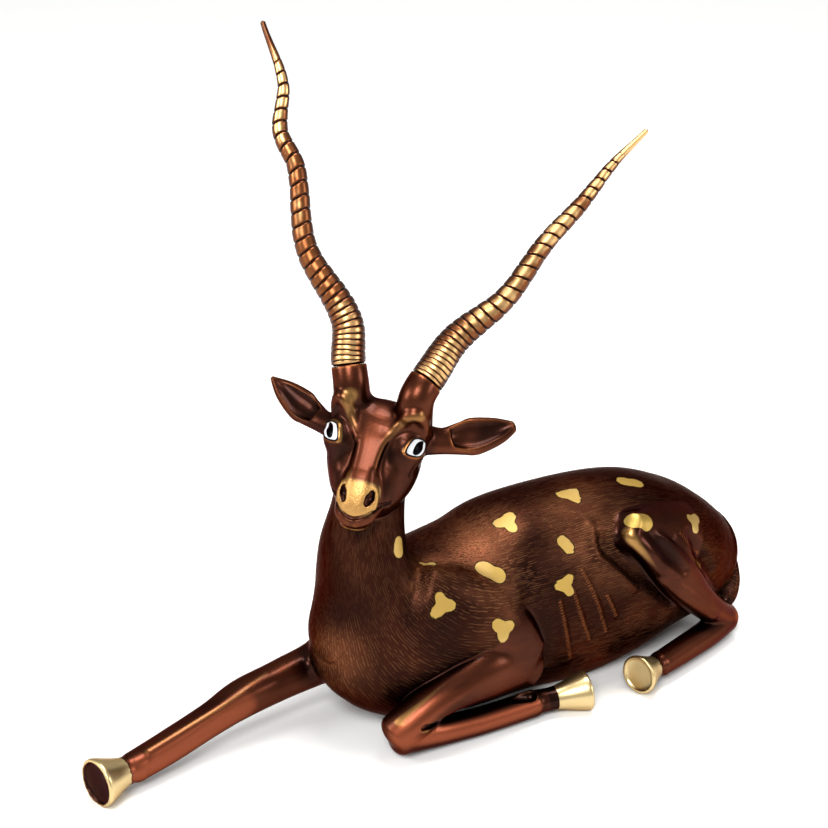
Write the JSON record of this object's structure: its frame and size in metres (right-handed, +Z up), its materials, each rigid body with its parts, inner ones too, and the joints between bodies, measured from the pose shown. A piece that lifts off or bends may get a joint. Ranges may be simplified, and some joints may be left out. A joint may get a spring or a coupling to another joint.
{
  "type": "reclining antelope statue",
  "caption": "Hollow-cast brass antelope lying down with its head raised and turned, a foreleg stretched out and long ringed horns set on stubs; stands on the floor as an ornament.",
  "frame": {"origin": "middle of the flat underside of the belly, on the ground", "axes": "the animal's trunk lies along X and faces -X, its left side is -Y, +Z is up"},
  "size_m": [0.7696, 0.3315, 0.6957],
  "materials": {
    "lacquered_brass": "dark red-brown translucent lacquer over chased brass, polished gold on hooves, muzzle and spots",
    "horn_brass": "ringed, gold on the lands and brown lacquer in the grooves"
  },
  "bodies": {
    "root": {"body": "lacquered_brass", "horn_left": "horn_brass", "horn_right": "horn_brass"}
  },
  "joints": []
}
